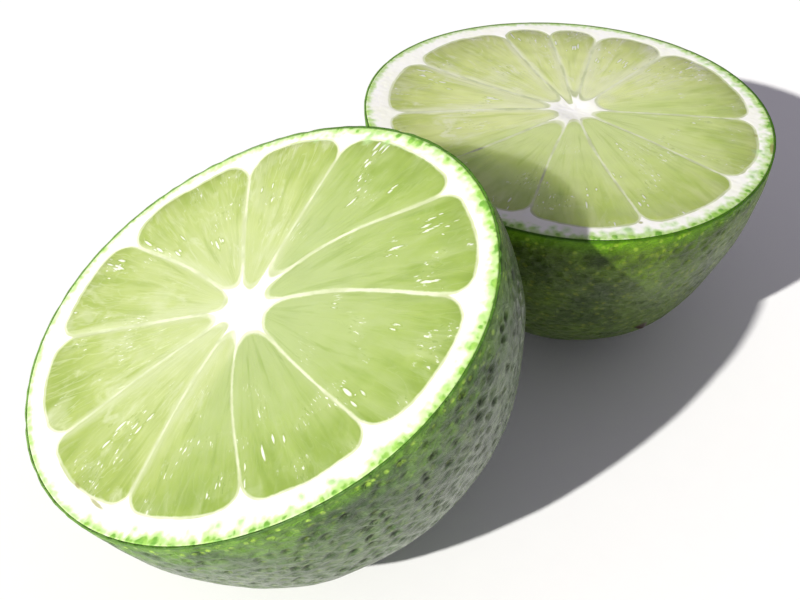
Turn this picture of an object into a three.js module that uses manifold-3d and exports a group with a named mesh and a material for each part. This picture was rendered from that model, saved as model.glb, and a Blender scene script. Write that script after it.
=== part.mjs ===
// Two halves of one green lime, cut across the middle. Millimetres, +Z up.
// One half stands on its end, and the other leans against its rim.
// +X runs from the leaning half to the standing one, and the origin is on the
// surface they rest on, under the middle of the pair's box.

import * as THREE from 'three';
import { mergeVertices } from 'three/addons/utils/BufferGeometryUtils.js';
import Module from 'manifold-3d';

// Driving dimensions of both halves.
const RIM_RADIUS = 27; // mean radius of the cut face, a 54 mm lime
const FOOT_DEPTH = 0.4; // how much of the round end is pressed flat where it rests
const RINGS = 18; // steps from the end of the fruit up to the rim
const SIDES = 60; // steps round the rim

// Each half's own dimensions. The face centre is before the end is pressed flat.
// A lobe makes the section oval (2) or three-cornered (3), strongest at the rim.
const LEANING = {
  name: 'leaning_half',
  colour: 0x6f9a34,
  depth: 34.5, // from the cut face to the end of the fruit
  endBluntness: 2.55, // higher keeps the wall upright for longer below the rim
  sectionPower: 1.58, // 2 gives a round end, less gives a pointed one
  faceCentre: [-28.73, -0.17, 33.47],
  tiltDegrees: 25.4, // of the cut face away from level
  tiltHeading: 159.3, // the side the cut face looks to, from +X towards +Y
  lobes: [{ count: 2, amount: 0.069, heading: -34.1 }],
  endShift: [-1.9, 0.1], // the end of the fruit lies off the face's own axis
};
const STANDING = {
  name: 'standing_half',
  colour: 0x5c8230,
  depth: 31.3,
  endBluntness: 1.71,
  sectionPower: 1.89,
  faceCentre: [26.93, -0.17, 31.19],
  tiltDegrees: 5.5,
  tiltHeading: 20.4,
  lobes: [{ count: 3, amount: 0.017, heading: -14.6 }],
  endShift: [1.1, -3.8],
};

const radians = THREE.MathUtils.degToRad;
const manifold = await Module();
manifold.setup();

// The half's outline, from its end up the wall to the rim and in across the face.
function outline(half) {
  const points = [];
  for (let ring = 0; ring <= RINGS; ring += 1) {
    const level = Math.cos((ring / RINGS) * Math.PI / 2);
    const radius = RIM_RADIUS * (1 - level ** half.endBluntness) ** (1 / half.sectionPower);
    points.push(new THREE.Vector2(radius, -half.depth * level));
  }
  points[0].x = 0;
  points[RINGS].y = 0;
  points.push(new THREE.Vector2(0, 0));
  return points;
}

// How far out the wall stands at one angle and level, as a share of the round one.
function lobeFactor(half, angle, level) {
  let factor = 1;
  for (const lobe of half.lobes) {
    const turned = angle - radians(lobe.heading);
    factor += lobe.amount * Math.cos(lobe.count * turned) * (1 - level ** 2);
  }
  return factor;
}

// Turns the round lathe shape into the grown one: lobed, with its end off centre.
function growUneven(geometry, half) {
  const position = geometry.getAttribute('position');
  for (let i = 0; i < position.count; i += 1) {
    const x = position.getX(i);
    const y = position.getY(i);
    const level = -position.getZ(i) / half.depth;
    const factor = lobeFactor(half, Math.atan2(y, x), level);
    position.setX(i, x * factor + half.endShift[0] * level ** 2);
    position.setY(i, y * factor + half.endShift[1] * level ** 2);
  }
}

// Tips the half over towards its heading, without turning it about its own axis.
function placement(half) {
  const heading = radians(half.tiltHeading);
  const axis = new THREE.Vector3(-Math.sin(heading), Math.cos(heading), 0);
  const turn = new THREE.Quaternion().setFromAxisAngle(axis, radians(half.tiltDegrees));
  const centre = new THREE.Vector3(...half.faceCentre);
  return new THREE.Matrix4().compose(centre, turn, new THREE.Vector3(1, 1, 1));
}

function toSolid(geometry) {
  geometry.deleteAttribute('normal');
  geometry.deleteAttribute('uv');
  const merged = mergeVertices(geometry, 1e-4);
  return new manifold.Manifold(new manifold.Mesh({
    numProp: 3,
    vertProperties: new Float32Array(merged.getAttribute('position').array),
    triVerts: new Uint32Array(merged.getIndex().array),
  }));
}

function toGeometry(solid) {
  const mesh = solid.getMesh();
  const geometry = new THREE.BufferGeometry();
  geometry.setAttribute('position', new THREE.BufferAttribute(mesh.vertProperties, 3));
  geometry.setIndex(new THREE.BufferAttribute(mesh.triVerts, 1));
  geometry.computeVertexNormals();
  return geometry;
}

// Everything below the surface, which presses the round end flat.
function belowSurface() {
  const side = RIM_RADIUS * 8;
  const block = new THREE.BoxGeometry(side, side, side);
  block.translate(0, 0, -side / 2);
  return toSolid(block);
}

function limeHalf(half) {
  const geometry = new THREE.LatheGeometry(outline(half), SIDES);
  geometry.rotateX(Math.PI / 2);
  growUneven(geometry, half);
  geometry.applyMatrix4(placement(half));
  geometry.translate(0, 0, -FOOT_DEPTH);
  const solid = toSolid(geometry).subtract(belowSurface());
  const material = new THREE.MeshStandardMaterial({
    color: half.colour,
    roughness: 0.45,
    metalness: 0,
  });
  const mesh = new THREE.Mesh(toGeometry(solid), material);
  mesh.name = half.name;
  return mesh;
}

const group = new THREE.Group();
group.add(limeHalf(LEANING));
group.add(limeHalf(STANDING));

export default group;
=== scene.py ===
import math
from dataclasses import dataclass

import bmesh
import bpy
import numpy as np
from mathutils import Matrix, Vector, kdtree, noise


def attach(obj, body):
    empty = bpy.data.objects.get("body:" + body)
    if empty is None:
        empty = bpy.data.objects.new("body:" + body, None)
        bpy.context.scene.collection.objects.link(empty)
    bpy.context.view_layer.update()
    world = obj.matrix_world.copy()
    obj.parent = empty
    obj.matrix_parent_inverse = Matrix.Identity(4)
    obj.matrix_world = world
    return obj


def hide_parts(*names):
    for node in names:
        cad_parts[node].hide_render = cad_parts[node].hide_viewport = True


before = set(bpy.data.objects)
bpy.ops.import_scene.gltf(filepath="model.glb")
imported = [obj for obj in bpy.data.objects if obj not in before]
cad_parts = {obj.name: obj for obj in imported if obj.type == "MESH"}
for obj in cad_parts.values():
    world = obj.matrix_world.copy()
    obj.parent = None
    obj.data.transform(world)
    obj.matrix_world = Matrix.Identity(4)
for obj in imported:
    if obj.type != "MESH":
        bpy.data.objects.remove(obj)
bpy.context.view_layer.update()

# Two halves of a lime. Each half is a thin pitted peel round a plug of flesh, whose
# top is the cut face. Both are shaped in the half's own frame, with the middle of the
# cut face at the origin and +Z out of the fruit, and are then moved to the CAD's place.

MM = 0.001
RIM_RADIUS = 27 * MM  # mean radius of the cut face

PEEL_CELLS = 170  # four-sided cells along a quarter of the peel, twice over
PEEL_SHARE = 0.991  # size of the peel's inner side against its outer side, at the rim
FLESH_SHARE = 0.990  # size of the flesh against the peel's outer side, at the rim
UNDERCUT = 0.022  # how much smaller both are down inside the fruit
UNDERCUT_LEVEL = 0.08  # how far down it is complete, as a share of the depth
LINING_RINGS = 10
FLESH_COLUMNS = 800  # cells round the cut face
CORE_RINGS = 5
PULP_RINGS = 92
PITH_RINGS = 16
UNDER_RINGS = 8
CORE_EDGE = 0.06  # where the core and the pulp end on the unit plate
PULP_EDGE = 0.84

PIT_SPACING = 1.7 * MM
PIT_SQUASH = 1.35  # pits are longer along the rim than across it
RIDGE_STRETCH = 3.0  # and so are the fine ridges, more strongly
RIDGE_GAP = 1.3 * MM  # a ridge's width, as a difference of distances to two pits
SWELL_SIZE = 9 * MM  # the peel's broad swellings
SWELL_HEIGHT = 0.35 * MM
RIPPLE_SIZE = 2.6 * MM  # and its small ones
RIPPLE_HEIGHT = 0.05 * MM
SCAB_RADIUS = 0.9 * MM
SCAB_HEIGHT = 0.7 * MM

GLAND_SPACING = 0.62 * MM
GLAND_HEIGHT = 0.06 * MM
SAC_ANGLE = math.radians(3.2)  # width of one juice sac, seen from the core
SAC_ROWS = 3
SAC_HEIGHT = 0.05 * MM
DROP_COUNT = 70  # drops of juice on a cut face
DROP_CLUSTERS = 26
PULP_SWELL = 0.10 * MM  # heights of the cut face's low relief
PITH_GRAIN = 0.03 * MM
FACE_SWELL = 0.12 * MM
MEMBRANE_GROOVE = 0.04 * MM
CORE_DIP = 0.25 * MM

GOLDEN_ANGLE = math.pi * (3 - math.sqrt(5))
EVEN_SHARE = 0.866  # area round each of many even places, against their spacing squared
RIM_STEPS = 12  # tries after which a point on the rim is found closely
SAC_TABLE = (64, 16)  # columns and rows of sacs before their pattern repeats
FAR = 9.0  # more than any distance that is compared with it

# What each random pattern adds to its half's seed.
PITS = 0
RIPPLES = 1
PULP_END = 3
CORE_END = 4
SACS = 5
GLANDS = 6  # and the number of the row
WALL_WANDER = 7
PULP_LUMPS = 8
PITH_LUMPS = 9
FACE_LUMPS = 10
RAGGED = 11
DROPS = 12
RAGGED_FINE = 13
CORNERS = 14


@dataclass
class Half:
    """One lime half. Headings are degrees from the half's own +X towards its +Y."""

    name: str
    slot: str
    seed: int
    depth: float  # from the cut face to the end of the fruit
    end_bluntness: float  # the section obeys radius ** section_power + level ** end_bluntness = 1
    section_power: float
    lobes: list  # (count, amount, heading) of the section's uneven roundness
    end_shift: tuple  # how far the end of the fruit lies off its middle
    core: tuple  # middle of the core on the cut face
    core_radius: float
    membranes: list  # (heading at the rim, turn at the core, thickness mm, veil mm)
    rind: float  # mean distance from the skin to the pulp
    rind_uneven: float  # how much thicker it is on its thick side
    rind_heading: float
    pit_depth: float
    rich_heading: float  # where the rim shows the most oil glands
    blemishes: list  # (heading, distance from the middle mm, length mm, width mm)
    scar: tuple  # direction to a small brown scab on the skin


LEANING = Half(
    name="leaning_half",
    slot="leaning_lime",
    seed=11,
    depth=34.5 * MM,
    end_bluntness=2.55,
    section_power=1.58,
    lobes=[(2, 0.069, -34.1)],
    end_shift=(-1.9 * MM, 0.1 * MM),
    core=(0.9 * MM, 2.2 * MM),
    core_radius=3.3 * MM,
    membranes=[
        (10, 0, 0.18, -1.2),
        (43, 4, 0.24, 0.7),
        (92, -8, 0.30, -1.2),
        (127, 0, 0.30, -1.8),
        (159, -4, 0.16, 2.4),
        (191, -6, 0.18, 1.3),
        (225, -11, 0.18, -0.9),
        (261, -4, 0.26, 1.4),
        (300, 11, 0.44, -2.6),
        (331, 16, 0.34, -2.6),
    ],
    rind=2.75 * MM,
    rind_uneven=0.85 * MM,
    rind_heading=228,
    pit_depth=0.30 * MM,
    rich_heading=285,
    blemishes=[(179, 25.0, 3.2, 0.5), (170, 25.2, 1.3, 0.5)],
    scar=(0.0, 0.0, -1.0),
)
STANDING = Half(
    name="standing_half",
    slot="standing_lime",
    seed=23,
    depth=31.3 * MM,
    end_bluntness=1.71,
    section_power=1.89,
    lobes=[(3, 0.017, -14.6)],
    end_shift=(1.1 * MM, -3.8 * MM),
    core=(2.0 * MM, 0.6 * MM),
    core_radius=2.7 * MM,
    membranes=[
        (2, 0, 0.30, 2.4),
        (29, 2, 0.28, -2.2),
        (48, -2, 0.18, 1.4),
        (66, 3, 0.22, 1.8),
        (105, 4, 0.32, 2.6),
        (139, -3, 0.45, -2.2),
        (171, 2, 0.26, 2.6),
        (205, -3, 0.20, 2.0),
        (236, -6, 0.28, -2.0),
        (273, 3, 0.30, 2.8),
        (311, 2, 0.24, -2.0),
    ],
    rind=2.95 * MM,
    rind_uneven=0.45 * MM,
    rind_heading=160,
    pit_depth=0.11 * MM,
    rich_heading=250,
    blemishes=[(306, 24.2, 0.8, 0.6), (238, 24.2, 0.7, 0.6), (300, 26.2, 3.0, 0.7)],
    scar=(-0.33, -0.80, -0.66),
)
HALVES = [LEANING, STANDING]


# ---------------------------------------------------------------- plain helpers

def smooth(value, low, high):
    """0 below low, 1 above high, and an S-curve between."""
    share = np.clip((value - low) / (high - low), 0.0, 1.0)
    return share * share * (3.0 - 2.0 * share)


def noise_at(points, size, seed):
    """Soft noise from -1 to 1 at each point, with features of the given size."""
    shift = Vector((seed * 7.31, seed * 3.17, seed * 5.93))
    return np.array([noise.noise(Vector(point) / size + shift) for point in points])


def mesh_points(mesh):
    flat = np.empty(len(mesh.vertices) * 3)
    mesh.vertices.foreach_get("co", flat)
    return flat.reshape(-1, 3)


def set_mesh_points(mesh, points):
    mesh.vertices.foreach_set("co", np.ascontiguousarray(points, dtype=np.float32).ravel())
    mesh.update()


def store(mesh, name, values):
    """Keeps three numbers on every vertex, for the material to read."""
    layer = mesh.attributes.new(name, "FLOAT_VECTOR", "POINT")
    layer.data.foreach_set("vector", np.stack(values, axis=1).astype(np.float32).ravel())


def finished_mesh(shape, name):
    """Turns a closed shape into a mesh, with its faces outward and smooth."""
    bmesh.ops.recalc_face_normals(shape, faces=shape.faces)
    for face in shape.faces:
        face.smooth = True
    mesh = bpy.data.meshes.new(name)
    shape.to_mesh(mesh)
    shape.free()
    return mesh


# ---------------------------------------------------------------- where the CAD puts each half

def cut_face(node):
    """Middle and outward normal of a CAD half's one large flat face."""
    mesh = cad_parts[node].data
    areas = {}
    for face in mesh.polygons:
        key = tuple(round(part, 2) for part in face.normal)
        areas.setdefault(key, []).append(face)
    faces = max(areas.values(), key=lambda group: sum(face.area for face in group))
    used = {index for face in faces for index in face.vertices}
    corners = {tuple(round(part, 6) for part in mesh.vertices[index].co) for index in used}
    places = np.array(sorted(corners))
    middle = places.mean(axis=0)
    rim = places[np.linalg.norm(places - middle, axis=1) > RIM_RADIUS / 2]
    normal = sum((face.normal * face.area for face in faces), Vector())
    return Vector(rim.mean(axis=0)), normal.normalized()


def settle(half, mesh):
    """Moves a shaped mesh to the half's place, pressed flat where it meets the surface."""
    middle, normal = cut_face(half.name)
    turn = Vector((0, 0, 1)).rotation_difference(normal)
    matrix = np.array(turn.to_matrix())
    points = mesh_points(mesh) @ matrix.T + np.array(middle)
    points[:, 2] = np.maximum(points[:, 2], 0.0)
    set_mesh_points(mesh, points)


def add_piece(half, suffix, mesh, material):
    piece = bpy.data.objects.new(half.name + suffix, mesh)
    bpy.context.scene.collection.objects.link(piece)
    mesh.materials.append(material)
    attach(piece, "root")
    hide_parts(half.name)


# ---------------------------------------------------------------- the half's outer form

def lobe_factor(half, azimuth, level):
    factor = np.ones_like(azimuth)
    for count, amount, heading in half.lobes:
        wave = np.cos(count * (azimuth - math.radians(heading)))
        factor += amount * wave * (1.0 - level ** 2)
    return factor


def grow(half, azimuth, level):
    """Points of the smooth skin: level is 0 at the rim and 1 at the end of the fruit."""
    level = np.clip(level, 0.0, 1.0)
    radius = RIM_RADIUS * (1.0 - level ** half.end_bluntness) ** (1.0 / half.section_power)
    radius = radius * lobe_factor(half, azimuth, level)
    x = radius * np.cos(azimuth) + half.end_shift[0] * level ** 2
    y = radius * np.sin(azimuth) + half.end_shift[1] * level ** 2
    return np.stack([x, y, -half.depth * level], axis=1)


def grow_towards(half, directions):
    return grow(half, np.arctan2(directions[:, 1], directions[:, 0]), -directions[:, 2])


def skin_outward(half, points):
    """Roughly square to the skin, pointing out."""
    away = points / np.array([RIM_RADIUS, RIM_RADIUS, half.depth]) ** 2
    away[:, 2] = np.minimum(away[:, 2], 0.0)
    return away / np.maximum(np.linalg.norm(away, axis=1, keepdims=True), 1e-9)


# ---------------------------------------------------------------- peel

def add_rings(shape, edges, section):
    """Grows an open edge loop through rings given as (radius, height), shut at radius 0."""
    for radius, height in section:
        made = bmesh.ops.extrude_edge_only(shape, edges=edges)["geom"]
        verts = [item for item in made if isinstance(item, bmesh.types.BMVert)]
        edges = [item for item in made if isinstance(item, bmesh.types.BMEdge) and item.is_boundary]
        for vert in verts:
            flat = Vector((vert.co.x, vert.co.y, 0)).normalized()
            vert.co = flat * radius
            vert.co.z = height
        if radius == 0:
            bmesh.ops.pointmerge(shape, verts=verts, merge_co=(0, 0, height))


def quarter_turn(rings):
    """Rings down the inside of a unit bowl, from below its edge to its lowest point."""
    drops = [ring / rings * math.pi / 2 for ring in range(1, rings)]
    return [(math.cos(drop), -math.sin(drop)) for drop in drops] + [(0, -1)]


def dome_mesh():
    """The lower half of a unit ball in even cells, with a lip and an inner side."""
    shape = bmesh.new()
    bmesh.ops.create_cube(shape, size=2.0)
    bmesh.ops.subdivide_edges(shape, edges=shape.edges[:], cuts=PEEL_CELLS - 1, use_grid_fill=True)
    everything = shape.verts[:] + shape.edges[:] + shape.faces[:]
    bmesh.ops.bisect_plane(
        shape, geom=everything, dist=1e-6, plane_co=(0, 0, 0), plane_no=(0, 0, 1), clear_outer=True
    )
    for vert in shape.verts:
        vert.co = Vector([math.tan(part * math.pi / 4) for part in vert.co]).normalized()
    edges = [edge for edge in shape.edges if edge.is_boundary]
    inner = [(1, 0)] + quarter_turn(LINING_RINGS)
    add_rings(shape, edges, [(PEEL_SHARE * radius, PEEL_SHARE * height) for radius, height in inner])
    return finished_mesh(shape, "dome")


def pit_places(half):
    """Evenly scattered, jittered places on the skin, one for each pit, and how deep each is."""
    skin_area = 2 * math.pi * RIM_RADIUS * (RIM_RADIUS + half.depth) / 2
    count = int(skin_area / (EVEN_SHARE * PIT_SPACING ** 2))
    step = np.arange(count)
    level = (step + 0.5) / count
    azimuth = step * GOLDEN_ANGLE
    flat = np.sqrt(1 - level ** 2)
    directions = np.stack([flat * np.cos(azimuth), flat * np.sin(azimuth), -level], axis=1)
    draw = np.random.default_rng(half.seed + PITS)
    directions += draw.normal(0, 0.24 * PIT_SPACING / RIM_RADIUS, directions.shape)
    directions[:, 2] = np.minimum(directions[:, 2], 0.02)
    directions /= np.linalg.norm(directions, axis=1, keepdims=True)
    places = grow_towards(half, directions)
    deepness = 0.18 + 0.82 * draw.uniform(0, 1, count) ** 2.2
    return places, deepness


def nearest_two(places, points):
    """Distance to the nearest place and to the next, and which is nearest."""
    tree = kdtree.KDTree(len(places))
    for index, place in enumerate(places):
        tree.insert(place, index)
    tree.balance()
    near = np.empty(len(points))
    following = np.empty(len(points))
    which = np.empty(len(points), dtype=int)
    for index, point in enumerate(points):
        first, second = tree.find_n(point, 2)
        near[index] = first[2]
        which[index] = first[1]
        following[index] = second[2]
    return near, following, which


def make_peel(half, dome, material):
    mesh = dome.copy()
    unit = mesh_points(mesh)
    size = np.linalg.norm(unit, axis=1)
    outside = size > (1 + PEEL_SHARE) / 2
    directions = unit / size[:, None]
    level = -directions[:, 2]
    size = np.where(outside, 1.0, size - UNDERCUT * smooth(level, 0.0, UNDERCUT_LEVEL))
    points = grow_towards(half, directions) * size[:, None]
    skin = points[outside]

    places, deepness = pit_places(half)
    squash = np.array([1.0, 1.0, PIT_SQUASH])
    near, following, which = nearest_two(places * squash, skin * squash)
    deep = deepness[which]
    pit_width = (0.26 + 0.11 * deep) * PIT_SPACING
    pit = deep * np.exp(-(near / pit_width) ** 2)
    ridge = 1.0 - smooth(following - near, 0.0, RIDGE_GAP)
    swell = noise_at(skin, SWELL_SIZE, half.seed) * SWELL_HEIGHT
    swell += noise_at(skin, RIPPLE_SIZE, half.seed + RIPPLES) * RIPPLE_HEIGHT
    away = skin_outward(half, skin)
    scar = Vector(half.scar).normalized()
    scar_place = grow_towards(half, np.array([scar]))[0]
    scar_distance = np.linalg.norm(skin - scar_place, axis=1)
    scab = np.exp(-(scar_distance / SCAB_RADIUS) ** 2)
    below = -skin[:, 2]
    pitted = half.pit_depth * (0.3 * ridge - pit) * (0.45 + 0.55 * smooth(below, 0.0, 2.5 * MM))
    lift = swell * smooth(below, 0.0, 3 * MM) + pitted * (1 - scab) + SCAB_HEIGHT * scab
    away[below < 0.01 * MM, 2] = 0.0
    points[outside] = skin + away * lift[:, None]
    set_mesh_points(mesh, points)

    pits = np.ones(len(points))
    gaps, deeps, scabs = np.zeros((3, len(points)))
    pits[outside] = near / pit_width
    gaps[outside] = (following - near) / MM
    deeps[outside] = deep
    scabs[outside] = scab
    x, y, z = points.T / MM
    store(mesh, "pits", [pits, gaps, deeps])
    store(mesh, "along_rim", [x, y, z * RIDGE_STRETCH])
    store(mesh, "skin", [-z, scabs, richness(half, np.arctan2(y, x))])
    settle(half, mesh)
    add_piece(half, "_peel", mesh, material)


# ---------------------------------------------------------------- cut face and flesh

def plate_mesh():
    """A unit plate with a domed underside, ring by ring from its middle."""
    shape = bmesh.new()
    core = np.linspace(0.0, CORE_EDGE, CORE_RINGS + 1)[1:]
    pulp = np.linspace(CORE_EDGE, PULP_EDGE, PULP_RINGS + 1)[1:]
    pith = np.linspace(PULP_EDGE, 1.0, PITH_RINGS + 1)[1:]
    rings = [(radius, 0) for radius in np.concatenate([core, pulp, pith])]
    bmesh.ops.create_circle(shape, segments=FLESH_COLUMNS, radius=core[0])
    inner_edges = shape.edges[:]
    add_rings(shape, inner_edges, [(0, 0)])
    outer_edges = [edge for edge in inner_edges if edge.is_boundary]
    add_rings(shape, outer_edges, rings[1:] + quarter_turn(UNDER_RINGS))
    return finished_mesh(shape, "plate")


class Wheel:
    """The cut face's plan: where the core, membranes, pulp, rind and rim lie."""

    def __init__(self, half):
        self.half = half
        rows = np.array(half.membranes, dtype=float)
        self.count = len(rows)
        self.headings = np.radians(rows[:, 0])
        self.turns = np.radians(rows[:, 1])
        self.widths = rows[:, 2] * MM
        self.veils = rows[:, 3] * MM
        self.spans = np.diff(np.append(self.headings, self.headings[0] + 2 * math.pi))
        draw = np.random.default_rng(half.seed + CORNERS)
        self.tips = half.core_radius * draw.uniform(0.72, 1.25, self.count)
        self.corners = draw.uniform(1.5, 3.2, self.count) * MM

    def place(self, heading):
        """Counts segments round the wheel: 0 at the first membrane, 1 at the next."""
        turned = np.mod(heading - self.headings[0], 2 * math.pi) + self.headings[0]
        stops = np.append(self.headings, self.headings[0] + 2 * math.pi)
        return np.interp(turned, stops, np.arange(self.count + 1.0))

    def around(self, values, heading):
        """A value given at each membrane, run on evenly round the wheel."""
        stops = np.arange(self.count + 1.0)
        return np.interp(self.place(heading), stops, np.append(values, values[0]))

    def rim(self, heading):
        """Distance from the core's middle to the rim, and the rim point's azimuth."""
        core = np.array(self.half.core)
        reach = np.full_like(heading, RIM_RADIUS)
        for _ in range(RIM_STEPS):
            x = core[0] + reach * np.cos(heading)
            y = core[1] + reach * np.sin(heading)
            azimuth = np.arctan2(y, x)
            level = np.zeros_like(azimuth)
            edge = RIM_RADIUS * FLESH_SHARE * lobe_factor(self.half, azimuth, level)
            reach = reach + (edge - np.hypot(x, y))
        return reach, azimuth

    def pulp(self, heading):
        """Distance from the core's middle to the outer end of the pulp."""
        half = self.half
        reach, azimuth = self.rim(heading)
        uneven = np.cos(azimuth - math.radians(half.rind_heading))
        ends = np.stack([np.cos(heading), np.sin(heading), np.zeros_like(heading)], axis=1)
        wander = noise_at(ends, 0.22, half.seed + PULP_END) * 0.35 * MM
        place = self.place(heading)
        bulge = np.sin(math.pi * (place - np.floor(place))) * 0.5 * MM
        return reach - half.rind - half.rind_uneven * uneven + wander + bulge

    def core(self, heading):
        ends = np.stack([np.cos(heading), np.sin(heading), np.zeros_like(heading)], axis=1)
        wander = noise_at(ends, 0.5, self.half.seed + CORE_END) * 0.4 * MM
        return self.half.core_radius * 0.5 + wander


def rounded(first, second, radius):
    """Distance inside two walls at once, with a round corner where they meet."""
    beyond = np.hypot(np.maximum(radius - first, 0), np.maximum(radius - second, 0))
    return np.maximum(radius, np.minimum(first, second)) - beyond


def wall_distance(wheel, heading, reach, core, pulp):
    """Distance into the pulp from the nearest membrane, core or rind, and the veils' strength."""
    position = wheel.place(heading)
    left = np.floor(position).astype(int) % wheel.count
    right = (left + 1) % wheel.count
    along = np.clip((reach - core) / (pulp - core), 0.0, 1.0)
    release = 1.0 - smooth(along, 0.0, 1.0)
    own = heading + wheel.around(wheel.turns, heading) * release
    flare = 0.8 + 0.9 * np.exp(-(reach - core) / (2.4 * MM))
    flare += 0.9 * np.exp(-np.abs(pulp - reach) / (1.4 * MM))
    veil = np.zeros_like(reach)
    sides = []
    for index, sense in ((left, 1.0), (right, -1.0)):
        line = wheel.headings[index] + wheel.turns[index] * release
        gap = np.mod(sense * (own - line) + 0.5, 2 * math.pi) - 0.5
        side = reach * np.sin(np.clip(gap, -1.4, 1.4)) - wheel.widths[index] / 2 * flare
        reached = wheel.veils[index]
        spread = np.maximum(sense * reached, 0.4 * np.abs(reached)) * (1.3 - along ** 2)
        veil = np.maximum(veil, 1.0 - smooth(side, 0.15 * spread, spread))
        sides.append(side)
    tip = wheel.tips[left] * np.sin(wheel.spans[left] / 2) / (1 - math.sqrt(0.5))
    wall = rounded(sides[0], sides[1], tip)
    wall = rounded(wall, pulp - reach, wheel.corners[left])
    wall = rounded(wall, reach - core, 0.6 * MM)
    return wall, own, along, position, veil


def sac_cells(half, wheel, reach, along, position):
    """The juice sacs: long cells in staggered rows, as distance to a wall and a tone."""
    segment = np.floor(position).astype(int) % wheel.count
    columns = np.maximum(3, np.round(wheel.spans / SAC_ANGLE)).astype(int)
    across = position - np.floor(position)
    bend = 0.12 * np.sin(2 * math.pi * across) * np.sin(math.pi * along)
    u = (across + bend) * columns[segment]
    v = along ** 1.25 * SAC_ROWS
    base_u = np.floor(u).astype(int)
    base_v = np.floor(v).astype(int)
    draw = np.random.default_rng(half.seed + SACS)
    table = draw.uniform(0, 1, (wheel.count, *SAC_TABLE, 3))
    best = np.full(len(u), FAR)
    second = np.full(len(u), FAR)
    tone = np.zeros(len(u))
    for du in (-1, 0, 1):
        for dv in (-2, -1, 0, 1, 2):
            cell_u = base_u + du
            cell_v = base_v + dv
            row = table[segment, np.mod(cell_u, SAC_TABLE[0]), np.mod(cell_v, SAC_TABLE[1])]
            stagger = 0.5 * np.mod(cell_u, 2)
            x = cell_u + 0.15 + 0.7 * row[:, 0] - u
            y = cell_v + 0.1 + 0.8 * row[:, 1] + stagger - v
            distance = np.sqrt(x ** 2 + (0.62 * y) ** 2)
            closer = distance < best
            second = np.where(closer, best, np.minimum(second, distance))
            tone = np.where(closer, row[:, 2], tone)
            best = np.where(closer, distance, best)
    width = reach * wheel.spans[segment] / columns[segment]
    sac_wall = (second - best) * width * 0.5
    tone = 0.5 + (tone - 0.5) * smooth(sac_wall, 0.0, 0.35 * MM)
    return sac_wall, tone


def richness(half, azimuth):
    """1 where the rim shows most oil glands, and little on the far side."""
    return 0.35 + 0.65 * smooth(np.cos(azimuth - math.radians(half.rich_heading)), -0.75, 0.25)


def gland_distance(half, row, depths, radii, azimuth, depth):
    """Distance from the edge of the nearest oil gland in one row beside the rim."""
    count = int(2 * math.pi * RIM_RADIUS / GLAND_SPACING)
    draw = np.random.default_rng(half.seed + GLANDS + row)
    offsets = draw.uniform(-0.6, 0.6, count)
    rich = richness(half, (np.arange(count) + 0.5) / count * 2 * math.pi)
    clumps = np.convolve(draw.uniform(-1, 1, count + 4), np.ones(5) / 2, "valid")
    deep = draw.uniform(*depths, count) * rich * MM
    size = (draw.uniform(*radii, count) + 0.12 * clumps) * rich * MM
    spot = np.mod(azimuth / (2 * math.pi), 1.0) * count
    base = np.floor(spot).astype(int)
    best = np.full(len(azimuth), FAR)
    for step in (-2, -1, 0, 1, 2):
        index = np.mod(base + step, count)
        x = (base + step + 0.5 + offsets[index] - spot) * GLAND_SPACING
        y = (depth - deep[index]) * 0.9
        best = np.minimum(best, np.hypot(x, y) - size[index])
    return best


def blemish(half, azimuth, radius):
    """1 on the small brown marks of the cut face."""
    cover = np.zeros_like(radius)
    for heading, distance, length, width in half.blemishes:
        turn = np.mod(azimuth - math.radians(heading) + math.pi, 2 * math.pi) - math.pi
        x = turn * radius / (length * MM / 2)
        y = (radius - distance * MM) / (width * MM / 2)
        cover = np.maximum(cover, np.exp(-(x ** 2 + y ** 2)))
    return cover


def juice_drops(half, wheel, points, wall):
    """Small drops of juice on the pulp in clusters, most of them towards its outer end, with a shine
    mask where a highlight is painted on each.
    """
    draw = np.random.default_rng(half.seed + DROPS)
    cluster = draw.integers(0, DROP_CLUSTERS, DROP_COUNT)
    heading = draw.uniform(-math.pi, math.pi, DROP_CLUSTERS)[cluster]
    share = draw.uniform(0.05, 0.96, DROP_CLUSTERS)[cluster] ** 0.4
    core = wheel.core(heading)
    reach = core + (wheel.pulp(heading) - core) * share + draw.normal(0, 0.9, DROP_COUNT) * MM
    aside = draw.normal(0, 0.6, DROP_COUNT) * MM
    radii = draw.uniform(0.10, 0.22, DROP_COUNT) * MM
    lengths = draw.uniform(1.5, 7.0, DROP_COUNT)
    bends = draw.uniform(-0.1, 0.1, DROP_COUNT) / MM
    lift = np.zeros(len(points))
    shine = np.zeros(len(points))
    for index in range(DROP_COUNT):
        along = np.array([math.cos(heading[index]), math.sin(heading[index])])
        across = np.array([-along[1], along[0]])
        radius = radii[index]
        offset = points[:, :2] - half.core - reach[index] * along - aside[index] * across
        near = np.flatnonzero(np.hypot(*offset.T) < 1.2 * radius * lengths[index])
        forward = offset[near] @ along
        sideways = offset[near] @ across + bends[index] * forward ** 2
        drop = np.clip(1 - ((forward / lengths[index]) ** 2 + sideways ** 2) / radius ** 2, 0, 1)
        lift[near] = np.maximum(lift[near], 0.5 * radius * np.sqrt(drop))
        shine[near] = np.maximum(shine[near], drop)
    clear = smooth(wall, 0.05 * MM, 0.3 * MM)
    return lift * clear, shine * clear


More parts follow.
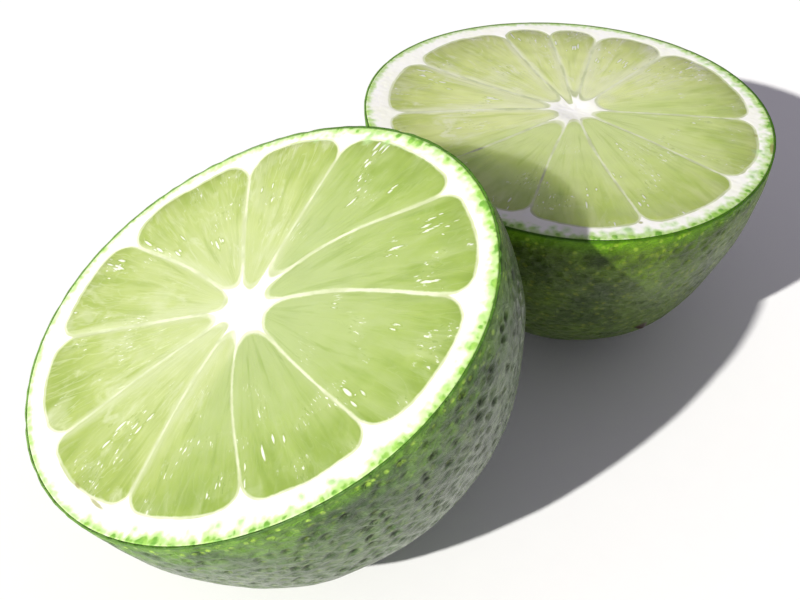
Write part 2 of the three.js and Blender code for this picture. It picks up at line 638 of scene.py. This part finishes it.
def face_relief(half, points, wall, sac_wall, reach):
    """Low relief of the cut face: plump sacs and pulp, grainy pith, and a dip at the core."""
    inside = smooth(wall, 0.0, 0.3 * MM)
    crown = (1 - np.exp(-sac_wall / (0.25 * MM))) * smooth(reach, 4 * MM, 12 * MM)
    lumps = noise_at(points, 2.4 * MM, half.seed + PULP_LUMPS)
    grain = noise_at(points, 0.5 * MM, half.seed + PITH_LUMPS)
    lift = inside * (SAC_HEIGHT * crown + PULP_SWELL * lumps) + (1 - inside) * PITH_GRAIN * grain
    lift -= MEMBRANE_GROOVE * np.exp(-((wall - 0.1 * MM) / (0.3 * MM)) ** 2)
    lift -= CORE_DIP * (1 - smooth(reach, 0.5 * MM, 3.4 * MM))
    return lift + FACE_SWELL * noise_at(points, 14 * MM, half.seed + FACE_LUMPS)


def make_flesh(half, plate, material):
    mesh = plate.copy()
    unit = mesh_points(mesh)
    wheel = Wheel(half)
    heading = np.arctan2(unit[:, 1], unit[:, 0])
    ring = np.hypot(unit[:, 0], unit[:, 1])
    top = unit[:, 2] > -1e-6
    rim, azimuth = wheel.rim(heading)
    pulp = wheel.pulp(heading)
    core = wheel.core(heading)

    reach = core * np.clip(ring / CORE_EDGE, 0, 1)
    reach += (pulp - core) * np.clip((ring - CORE_EDGE) / (PULP_EDGE - CORE_EDGE), 0, 1)
    reach += (rim - pulp) * np.clip((ring - PULP_EDGE) / (1 - PULP_EDGE), 0, 1)
    wall, own, along, position, veil = wall_distance(wheel, heading, reach, core, pulp)
    share = FLESH_SHARE - UNDERCUT * smooth(-unit[:, 2], 0.0, UNDERCUT_LEVEL)
    points = grow(half, azimuth, -unit[:, 2]) * share[:, None]
    x = half.core[0] + reach * np.cos(own)
    y = half.core[1] + reach * np.sin(own)
    points[top] = np.stack([x, y, np.zeros_like(x)], axis=1)[top]

    face_azimuth = np.arctan2(points[:, 1], points[:, 0])
    radius = np.hypot(points[:, 0], points[:, 1])
    depth = RIM_RADIUS * lobe_factor(half, face_azimuth, np.zeros_like(radius)) - radius
    wall = wall + noise_at(points, 0.9 * MM, half.seed + WALL_WANDER) * 0.06 * MM
    sac_wall, tone = sac_cells(half, wheel, reach, along, position)
    ragged = noise_at(points, 0.8 * MM, half.seed + RAGGED) * 0.2 * MM
    ragged += noise_at(points, 0.4 * MM, half.seed + RAGGED_FINE) * 0.2 * MM
    outer_gland = gland_distance(half, 0, (0.0, 0.8), (0.0, 0.42), face_azimuth, depth) + ragged
    inner_gland = gland_distance(half, 1, (0.6, 2.0), (-0.6, 0.5), face_azimuth, depth) + ragged
    rich = richness(half, face_azimuth)
    edge_tint = (1 - smooth(depth + ragged * 1.5, 0.1 * MM, 1.3 * MM)) * rich

    drops, shine = juice_drops(half, wheel, points, wall)
    lift = face_relief(half, points, wall, sac_wall, reach) + drops
    lift += GLAND_HEIGHT * smooth(-np.minimum(outer_gland, inner_gland), 0.0, 0.3 * MM)
    edge_fade = smooth(depth, 0.28 * MM, 0.8 * MM)
    points[:, 2] += np.where(top, lift * edge_fade, 0.0)
    set_mesh_points(mesh, points)

    sweep = np.mod(own - wheel.headings[0] - wheel.turns[0], 2 * math.pi)
    store(mesh, "face", [wall / MM, edge_tint, veil])
    store(mesh, "richness", [rich, rich, rich])
    store(mesh, "glands", [outer_gland / MM, inner_gland / MM, blemish(half, face_azimuth, radius)])
    # The third number, shine, marks where a highlight and a darker edge are painted on the drops.
    store(mesh, "sacs", [sac_wall / MM, tone, shine])
    store(mesh, "wheel", [sweep, along, reach / MM])
    settle(half, mesh)
    add_piece(half, "_flesh", mesh, material)


# ---------------------------------------------------------------- materials

def colour(red, green, blue):
    """A linear colour from screen values of 0 to 255."""
    parts = [value / 255 for value in (red, green, blue)]
    linear = [part / 12.92 if part <= 0.04045 else ((part + 0.055) / 1.055) ** 2.4 for part in parts]
    return (*linear, 1.0)


# Painted light: a brighter green below the rim, for light coming through the peel.
RIM_GLOW_GREEN = colour(100, 152, 4)
LIP_PALE = colour(126, 166, 82)
LIP_DARK = colour(54, 98, 6)
# Painted light: bright oil glands at the rim, for light coming through them.
RIM_GLOW_DOT = colour(168, 208, 70)
# Painted shade in the pits.
PIT_SHADE_GREEN = colour(36, 52, 18)
SMUDGE_GREEN = colour(118, 166, 42)
# Painted reflection: the greyer sheen on the creases.
SHEEN_GREEN = colour(128, 143, 102)
SCAB_BROWN = colour(52, 34, 22)

PITH_WHITE = colour(250, 250, 243)
PITH_CREAM = colour(242, 244, 228)
MEMBRANE_PALE = colour(218, 223, 192)
MEMBRANE_GREEN = colour(188, 197, 150)
SAC_LINE = colour(206, 214, 160)
THREAD_PALE = colour(208, 218, 168)
# Painted highlight on the pulp, and the painted dark marks beside it.
GLINT_WHITE = colour(244, 247, 234)
GLINT_SHADE = colour(116, 144, 50)
INNER_GLAND_HALO = colour(190, 222, 156)
INNER_GLAND = colour(138, 186, 90)
RIM_TINT = colour(146, 190, 78)
OUTER_GLAND_HALO = colour(176, 212, 120)
GLAND_PALE = colour(148, 196, 78)
GLAND_DARK = colour(96, 156, 36)
MARK_OLIVE = colour(150, 152, 84)


class Value:
    """A number in a material. Arithmetic on it adds Math nodes."""

    def __init__(self, shader, socket):
        self.shader = shader
        self.socket = socket

    def __add__(self, other):
        return self.shader.maths("ADD", self, other)

    def __radd__(self, other):
        return self.shader.maths("ADD", other, self)

    def __sub__(self, other):
        return self.shader.maths("SUBTRACT", self, other)

    def __rsub__(self, other):
        return self.shader.maths("SUBTRACT", other, self)

    def __mul__(self, other):
        return self.shader.maths("MULTIPLY", self, other)

    def __rmul__(self, other):
        return self.shader.maths("MULTIPLY", other, self)


class Shader:
    """One material under construction."""

    def __init__(self, name):
        self.material = bpy.data.materials.new(name)
        self.material.use_nodes = True
        self.tree = self.material.node_tree
        self.tree.nodes.clear()

    def node(self, kind, settings=None, inputs=None):
        """Adds a node, sets it up, and fills or links its inputs by name or number."""
        node = self.tree.nodes.new("ShaderNode" + kind)
        for name, setting in (settings or {}).items():
            setattr(node, name, setting)
        for name, value in (inputs or {}).items():
            socket = node.inputs[name]
            if isinstance(value, Value):
                self.tree.links.new(value.socket, socket)
            elif isinstance(value, bpy.types.NodeSocket):
                self.tree.links.new(value, socket)
            else:
                socket.default_value = value
        return node

    def maths(self, operation, first, second=0.0):
        node = self.node("Math", {"operation": operation}, {0: first, 1: second})
        return Value(self, node.outputs[0])

    def smooth(self, value, low, high, start=0.0, end=1.0):
        """An S-curve from start to end as the value goes from low to high."""
        settings = {"interpolation_type": "SMOOTHSTEP"}
        inputs = {"Value": value, "From Min": low, "From Max": high, "To Min": start, "To Max": end}
        return Value(self, self.node("MapRange", settings, inputs).outputs["Result"])

    def mix(self, share, first, second):
        """Blends two colours."""
        node = self.node("Mix", {"data_type": "RGBA"}, {"Factor": share})
        for name, value in (("A", first), ("B", second)):
            socket = [item for item in node.inputs if item.name == name and item.type == "RGBA"][0]
            if isinstance(value, bpy.types.NodeSocket):
                self.tree.links.new(value, socket)
            else:
                socket.default_value = value
        return [item for item in node.outputs if item.type == "RGBA"][0]

    def stored(self, name):
        """The three numbers that a mesh keeps under this name."""
        vector = self.node("Attribute", {"attribute_name": name}).outputs["Vector"]
        parts = self.node("SeparateXYZ", None, {0: vector})
        return [Value(self, parts.outputs[axis]) for axis in range(3)]

    def vector(self, x, y, z=0.0):
        return self.node("CombineXYZ", None, {0: x, 1: y, 2: z}).outputs[0]

    def object_place(self):
        return self.node("TexCoord").outputs["Object"]

    def noise(self, place, scale, detail=2.0, roughness=0.5, distortion=0.0):
        inputs = {
            "Vector": place,
            "Scale": scale,
            "Detail": detail,
            "Roughness": roughness,
            "Distortion": distortion,
        }
        return Value(self, self.node("TexNoise", None, inputs).outputs["Fac"])

    def bump(self, height, distance, strength=1.0, under=None):
        inputs = {"Height": height, "Distance": distance, "Strength": strength}
        if under is not None:
            inputs["Normal"] = under
        return self.node("Bump", None, inputs).outputs["Normal"]

    def surface(self, inputs):
        return self.node("BsdfPrincipled", {"subsurface_method": "RANDOM_WALK"}, inputs).outputs[0]

    def finish(self, surface):
        self.node("OutputMaterial", None, {"Surface": surface})
        return self.material


class Peel(Shader):
    """A peel material under construction, with what its mesh keeps and its grain."""

    def __init__(self, half, gloss):
        super().__init__(half.name + "_waxy_peel")
        self.gloss = gloss
        self.pit, self.gap, self.deep = self.stored("pits")
        self.below, self.scab, self.rich = self.stored("skin")
        place = self.object_place()
        self.mottle = self.noise(place, 90, detail=4, roughness=0.6)
        self.patch = self.noise(place, 320, detail=3, roughness=0.6)
        self.fine = self.noise(place, 1600, detail=3, roughness=0.6)
        dots = self.node("TexVoronoi", None, {"Vector": place, "Scale": 1000.0})
        self.fleck = self.smooth(Value(self, dots.outputs["Distance"]), 0.16, 0.40, 1.0, 0.0)
        # The band below the rim, painted a brighter green for light coming through the peel from the
        # lit cut face.
        self.rim_glow = self.smooth(self.below + self.mottle * 2.8, 1.4, 4.0, 1.0, 0.0)
        # Away from the rim, where the coat is stronger and the painted sheen on the creases shows
        # most.
        self.sheen_zone = self.smooth(self.below + self.mottle * 6.0, 4.5, 12.0)
        self.hollow = self.smooth(self.pit, 0.1, 1.6, 1.0, 0.0) * self.deep
        self.crease = self.creases()

    def creases(self):
        """Fine folds that run along the rim."""
        place = self.node("Attribute", {"attribute_name": "along_rim"}).outputs["Vector"]
        fold = self.maths("ABSOLUTE", self.noise(place, 0.42, detail=3, distortion=1.2) - 0.5)
        small_fold = self.maths("ABSOLUTE", self.noise(place, 0.95, distortion=0.8) - 0.5)
        crease = self.smooth(fold, 0.02, 0.09, 1.0, 0.0)
        return self.maths("MAXIMUM", crease, self.smooth(small_fold, 0.01, 0.06, 0.7, 0.0))

    def skin(self, dark, bright, speck):
        """Mottled green with pale specks, a band below the rim painted brighter for light coming
        through the peel, painted shade in the pits, and a painted grey sheen on the creases, mostly
        away from the rim.
        """
        green = self.mix(self.smooth(self.mottle * 0.6 + self.patch * 0.4, 0.36, 0.62), dark, bright)
        # Painted light: the band below the rim is painted a brighter, more saturated green.
        green = self.mix(self.rim_glow * 0.9, green, RIM_GLOW_GREEN)
        # Painted shade: the pits are painted darker, more on the glossier peel and less in the band
        # below the rim.
        shadow = self.hollow * (1.0 - self.rim_glow * 0.6) * self.gloss * 1.7
        green = self.mix(shadow, green, PIT_SHADE_GREEN)
        specks = self.fleck * self.smooth(self.patch, 0.36, 0.54) * (0.34 - self.gloss * 0.3)
        green = self.mix(specks, green, speck)
        smudge = self.smooth(self.patch * 0.6 + self.mottle * 0.4, 0.46, 0.60)
        green = self.mix(smudge * (1.0 - self.sheen_zone) * self.gloss, green, SMUDGE_GREEN)
        # Painted reflection: the creases are painted a greyer green for the sheen of the bright
        # surround on the waxy peel, mostly away from the rim.
        return self.mix(self.crease * (0.1 + self.sheen_zone * 0.9) * (self.gloss * 0.8), green, SHEEN_GREEN)

    def ends(self, green, dark):
        """Adds oil-gland dots at the rim, painted bright for light coming through them, a thin lip, a
        darker far end, and the scab.
        """
        rim = self.smooth(self.below, 0.3, 0.7)
        rim = rim * self.smooth(self.below + self.mottle, 1.6, 3.0, 1.0, 0.0)
        # Painted light: the oil glands at the rim are painted as bright yellow-green dots for light
        # coming through them, more on the glossier peel.
        green = self.mix(self.fleck * rim * (0.1 + self.gloss * 1.3), green, RIM_GLOW_DOT)
        green = self.mix(self.smooth(self.fine, 0.50, 0.75) * 0.3, green, dark)
        lip = self.mix(self.rich, LIP_PALE, LIP_DARK)
        green = self.mix(self.smooth(self.below + self.patch * 0.8, 0.45, 0.9, 0.85, 0.0), green, lip)
        green = self.mix(self.smooth(self.below, 10.0, 24.0) * (0.5 - self.gloss * 0.8), green, dark)
        return self.mix(self.smooth(self.scab, 0.25, 0.6), green, SCAB_BROWN)

    def relief(self):
        ridge = self.smooth(self.gap, 0.0, 1.0, 1.0, 0.0)
        pit_wall = self.smooth(self.pit, 0.0, 1.3) * self.deep
        height = ridge * 0.3 + self.crease * (0.2 + self.gloss * 0.6)
        height = height + pit_wall * (0.3 + self.gloss * 1.6) + self.fine * 0.4
        return self.bump(height, 0.16 * MM)


def peel_material(half, dark, bright, speck, gloss):
    """Waxy pitted peel: painted brightest in a band below the rim for light coming through it, with
    painted shade in the pits and a painted grey sheen on its creases. Gloss also sets how strongly
    the painted pit shade, sheen and rim dots show.
    """
    peel = Peel(half, gloss)
    roughness = peel.smooth(peel.mottle, 0.3, 0.7, 0.34, 0.44)
    return peel.finish(peel.surface({
        "Base Color": peel.ends(peel.skin(dark, bright, speck), dark),
        "Roughness": roughness + peel.rim_glow * 0.2 + peel.hollow * 0.2,
        "Specular IOR Level": gloss * 0.8,
        "Normal": peel.relief(),
        "Coat Weight": (0.3 + peel.sheen_zone * 0.7) * (1.0 - peel.hollow) * gloss,
        "Coat Roughness": 0.24,
        "Subsurface Weight": 0.05,
        "Subsurface Radius": (1.0, 1.6, 0.4),
        "Subsurface Scale": 0.6 * MM,
    }))


class Flesh(Shader):
    """A flesh material under construction, with what its mesh keeps and its grain."""

    def __init__(self, half):
        super().__init__(half.name + "_wet_flesh")
        self.wall, self.edge_tint, self.veil = self.stored("face")
        self.rich = self.stored("richness")[0]
        self.outer_gland, self.inner_gland, self.mark = self.stored("glands")
        self.sac_wall, self.tone, self.shine = self.stored("sacs")
        self.sweep, self.along, self.reach = self.stored("wheel")
        place = self.object_place()
        self.broad = self.noise(place, 130, detail=3)
        self.coarse = self.noise(place, 260, detail=3)
        self.patch = self.noise(place, 700, detail=3)
        self.fine = self.noise(place, 2200, detail=3, roughness=0.6)
        border = self.wall + (self.coarse - 0.5) * 0.4 + (self.fine - 0.5) * 0.12
        self.inside = self.smooth(border, -0.06, 0.2)
        self.fibre = self.streaks(11.0, 0.10, 0.0, detail=3, distortion=0.5)
        self.strand = self.streaks(48.0, 0.20, 4.0, detail=3, roughness=0.6)
        weave = self.maths("ABSOLUTE", self.streaks(13.0, 0.12, 9.0, distortion=0.8) - 0.5)
        self.thread = self.smooth(weave, 0.0, 0.03, 1.0, 0.0) * self.smooth(self.broad, 0.40, 0.60)
        # Clusters of painted glints; spark marks their bright dashes, which are also raised in the
        # relief.
        cluster = self.smooth(self.noise(place, 240), 0.55, 0.63)
        self.cluster = cluster * self.smooth(self.along, 0.15, 0.6)
        self.flick = self.streaks(60.0, 1.0, 2.0, detail=3, distortion=0.2)
        self.spark = self.smooth(self.flick, 0.60, 0.68) * self.cluster

    def streaks(self, across, outward, shift, **grain):
        """Noise drawn out from the core to the rind."""
        place = self.vector(self.sweep * across, self.reach * outward, shift)
        return self.noise(place, 1.0, **grain)

    def clear_pulp(self, deep, juicy, pale):
        """Pulp without its haze: pale by the core, deeper outwards and in its furrows."""
        pulp = self.mix(self.smooth(self.along + (self.broad - 0.5) * 0.9, 0.15, 1.0), pale, juicy)
        outward = self.along + (self.coarse - 0.5) * 0.7 + self.tone * 0.3
        pulp = self.mix(self.smooth(outward, 0.75, 1.4) * 0.9, pulp, deep)
        pulp = self.mix(self.smooth(self.fibre, 0.48, 0.72) * 0.5, pulp, pale)
        furrow = self.smooth(self.fibre, 0.30, 0.48, 1.0, 0.0)
        pulp = self.mix(furrow * self.smooth(self.along, 0.0, 0.35, 0.1, 0.4), pulp, deep)
        return self.mix(self.smooth(self.tone, 0.6, 1.0) * 0.3, pulp, deep)

    def hazed(self, pulp, haze):
        """Adds the sacs' edges, pale threads, clouds, wisps and the veils by the membranes."""
        lines = self.smooth(self.sac_wall, 0.0, 0.12, 1.0, 0.0) * self.smooth(self.strand, 0.45, 0.62)
        pulp = self.mix(lines * 0.28, pulp, SAC_LINE)
        pulp = self.mix(self.thread * 0.4, pulp, THREAD_PALE)
        cloud = self.smooth(self.broad, 0.54, 0.72) * self.smooth(self.coarse, 0.4, 0.6)
        pulp = self.mix(cloud * 0.55, pulp, haze)
        wisp = self.streaks(8.0, 0.2, 6.0, detail=4, roughness=0.6, distortion=0.6)
        pulp = self.mix(self.smooth(wisp, 0.52, 0.72) * 0.85, pulp, haze)
        return self.mix(self.veil * (0.3 + self.strand * 0.9), pulp, haze)

    def fresh_side(self, pulp, clear_pulp):
        """Shows clear, greener pulp on the side where the rim has the most glands."""
        greener = {"Hue": 0.512, "Saturation": 1.06, "Value": 0.88, "Color": clear_pulp}
        fresh = self.node("HueSaturation", None, greener).outputs["Color"]
        side = self.smooth(self.rich, 0.75, 1.0) * (1.0 - self.along * 0.3)
        return self.mix(side, pulp, fresh)

    def painted_glints(self, pulp, deep, haze):
        """Adds painted glints: a faint pale haze over their clusters, short white dashes with dark
        dashes beside them, and on each drop of juice a white highlight with a darker edge.
        """
        pulp = self.mix(self.cluster * 0.12, pulp, haze)
        # Painted shade: dark dashes beside the glints, for refraction.
        shade = self.smooth(self.flick, 0.32, 0.42, 1.0, 0.0) * self.cluster
        pulp = self.mix(shade * 0.35, pulp, GLINT_SHADE)
        pulp = self.mix(self.smooth(self.shine, 0.0, 0.15) * 0.4, pulp, deep)
        # Painted highlight: white on the sparks and in the middle of each drop, whose edge is painted
        # darker above.
        glint = self.maths("MAXIMUM", self.spark, self.smooth(self.shine, 0.3, 0.8))
        return self.mix(glint * 0.8, pulp, GLINT_WHITE)

    def pith(self):
        """White pith and core, with a greener fringe that is also the membranes' colour."""
        white = self.mix(self.smooth(self.coarse, 0.35, 0.65) * 0.6, PITH_WHITE, PITH_CREAM)
        fringe = self.mix(self.smooth(self.coarse, 0.36, 0.64), MEMBRANE_GREEN, MEMBRANE_PALE)
        return self.mix(self.smooth(self.wall, -0.34, -0.14, 1.0, 0.0), fringe, white)

    def green_edged(self, body):
        """Adds the rim's green tint, its two rows of oil glands, and the olive marks."""
        ragged = (self.coarse - 0.5) * 0.5 + (self.fine - 0.5) * 0.3
        inner_edge = self.inner_gland + ragged
        outer_edge = self.outer_gland + ragged * 0.5
        body = self.mix(self.smooth(inner_edge, -0.1, 0.6, 0.6, 0.0), body, INNER_GLAND_HALO)
        body = self.mix(self.smooth(inner_edge, -0.4, 0.05, 0.6, 0.0), body, INNER_GLAND)
        body = self.mix(self.edge_tint * 0.6, body, RIM_TINT)
        body = self.mix(self.smooth(outer_edge, 0.0, 0.8, 0.85, 0.0), body, OUTER_GLAND_HALO)
        bead = self.smooth(self.outer_gland + (self.fine - 0.5) * 0.2, -0.16, 0.12, 1.0, 0.0)
        bead_green = self.mix(self.smooth(self.patch, 0.38, 0.62), GLAND_PALE, GLAND_DARK)
        body = self.mix(bead * 0.9, body, bead_green)
        return self.mix(self.smooth(self.mark, 0.25, 0.75) * 0.8, body, MARK_OLIVE)

    def relief(self):
        """Fibres, threads and sparks on the pulp only, and a fine grain everywhere."""
        height = self.fibre * 0.35 + self.thread * 0.2 + self.spark * 0.5
        height = height + self.strand * 0.3 * self.smooth(self.broad, 0.42, 0.62)
        pulp_normal = self.bump(height * self.inside, 0.11 * MM, 0.7)
        return self.bump(self.fine, 0.015 * MM, 0.5, under=pulp_normal)


def flesh_material(half, deep, juicy, pale, haze, glow_depth):
    """Wet pulp between pale membranes, with painted glints, white pith and green glands along the
    rim.

    Light goes glow_depth millimetres into the pulp, and much less into the pith.
    """
    flesh = Flesh(half)
    clear_pulp = flesh.clear_pulp(deep, juicy, pale)
    pulp = flesh.fresh_side(flesh.hazed(clear_pulp, haze), clear_pulp)
    pulp = flesh.painted_glints(pulp, deep, haze)
    body = flesh.green_edged(flesh.mix(flesh.inside, flesh.pith(), pulp))
    normal = flesh.relief()
    pith_surface = flesh.surface({
        "Base Color": body,
        "Roughness": 0.55,
        "Normal": normal,
        "Subsurface Weight": 0.3,
        "Subsurface Radius": (1.0, 1.0, 0.8),
        "Subsurface Scale": 0.8 * MM,
    })
    pulp_surface = flesh.surface({
        "Base Color": body,
        "Roughness": 0.24,
        "Normal": normal,
        "Coat Weight": 0.6,
        "Coat Roughness": 0.10,
        "Subsurface Weight": 1.0,
        "Subsurface Radius": (1.0, 1.0, 0.75),
        "Subsurface Scale": glow_depth * MM,
    })
    both = flesh.node("MixShader", None, {0: flesh.inside, 1: pith_surface, 2: pulp_surface})
    return flesh.finish(both.outputs[0])


# ---------------------------------------------------------------- floor, light and camera

FLOOR_SIZE = 2.0
FLOOR_PALE = colour(248, 248, 247)
FLOOR_DARK = colour(244, 244, 243)

SUN_STRENGTH = 4.9
SUN_WIDTH = math.radians(1.3)
SUN_COLOUR = (1.0, 0.985, 0.95)
SUN_HEADING = math.radians(-1.5)  # where its light travels to, from +X
SUN_PITCH = math.radians(35)
SKY_COLOUR = (0.90, 0.85, 1.0, 1.0)
SKY_STRENGTH = 0.30

CAMERA_HEADING = math.radians(43.73)
CAMERA_PITCH = math.radians(44.25)
CAMERA_DISTANCE = 154.3 * MM
CAMERA_AIM = Vector((-8.9 * MM, -3.55 * MM, 24.6 * MM))
CAMERA_LENS = 58.2
SENSOR_WIDTH = 36.0


def downward(heading, pitch):
    """A direction that runs towards a heading and, by its pitch, down."""
    flat = math.cos(pitch)
    return Vector((flat * math.cos(heading), flat * math.sin(heading), -math.sin(pitch)))


def make_floor():
    shape = bmesh.new()
    bmesh.ops.create_grid(shape, x_segments=1, y_segments=1, size=FLOOR_SIZE)
    mesh = bpy.data.meshes.new("floor")
    shape.to_mesh(mesh)
    shape.free()
    floor = bpy.data.objects.new("floor", mesh)
    bpy.context.scene.collection.objects.link(floor)
    shader = Shader("pale_floor")
    grain = shader.noise(shader.object_place(), 300, detail=3)
    tint = shader.mix(grain * 0.5, FLOOR_PALE, FLOOR_DARK)
    mesh.materials.append(shader.finish(shader.surface({"Base Color": tint, "Roughness": 0.6})))


def add_light():
    """A nearly sharp sun from the leaning half's side, and a pale even surround."""
    key = bpy.data.lights.new("key", "SUN")
    key.energy = SUN_STRENGTH
    key.angle = SUN_WIDTH
    key.color = SUN_COLOUR
    lamp = bpy.data.objects.new("key", key)
    lamp.rotation_euler = downward(SUN_HEADING, SUN_PITCH).to_track_quat("-Z", "Y").to_euler()
    bpy.context.scene.collection.objects.link(lamp)
    world = bpy.data.worlds.new("studio")
    world.use_nodes = True
    background = world.node_tree.nodes["Background"]
    background.inputs["Color"].default_value = SKY_COLOUR
    background.inputs["Strength"].default_value = SKY_STRENGTH
    bpy.context.scene.world = world


def add_camera():
    """Looks down across the pair from the leaning half's near side."""
    look = downward(CAMERA_HEADING, CAMERA_PITCH)
    data = bpy.data.cameras.new("camera")
    data.lens = CAMERA_LENS
    data.sensor_width = SENSOR_WIDTH
    data.clip_start = 10 * MM
    camera = bpy.data.objects.new("camera", data)
    camera.location = CAMERA_AIM - look * CAMERA_DISTANCE
    camera.rotation_euler = look.to_track_quat("-Z", "Y").to_euler()
    bpy.context.scene.collection.objects.link(camera)
    bpy.context.scene.camera = camera


# ---------------------------------------------------------------- the scene

dome = dome_mesh()
plate = plate_mesh()
peels = {
    LEANING.name: peel_material(
        LEANING,
        dark=colour(40, 70, 16),
        bright=colour(66, 102, 28),
        speck=colour(170, 196, 58),
        gloss=0.55,
    ),
    STANDING.name: peel_material(
        STANDING,
        dark=colour(46, 68, 8),
        bright=colour(86, 112, 20),
        speck=colour(158, 168, 52),
        gloss=0.2,
    ),
}
fleshes = {
    LEANING.name: flesh_material(
        LEANING,
        deep=colour(146, 167, 76),
        juicy=colour(174, 190, 108),
        pale=colour(189, 201, 140),
        haze=colour(200, 209, 162),
        glow_depth=9,
    ),
    STANDING.name: flesh_material(
        STANDING,
        deep=colour(173, 193, 88),
        juicy=colour(208, 223, 132),
        pale=colour(223, 234, 162),
        haze=colour(229, 236, 190),
        glow_depth=22,
    ),
}
for half in HALVES:
    make_peel(half, dome, peels[half.name])
    make_flesh(half, plate, fleshes[half.name])

make_floor()
add_light()
add_camera()
bpy.context.scene.view_settings.view_transform = "Standard"
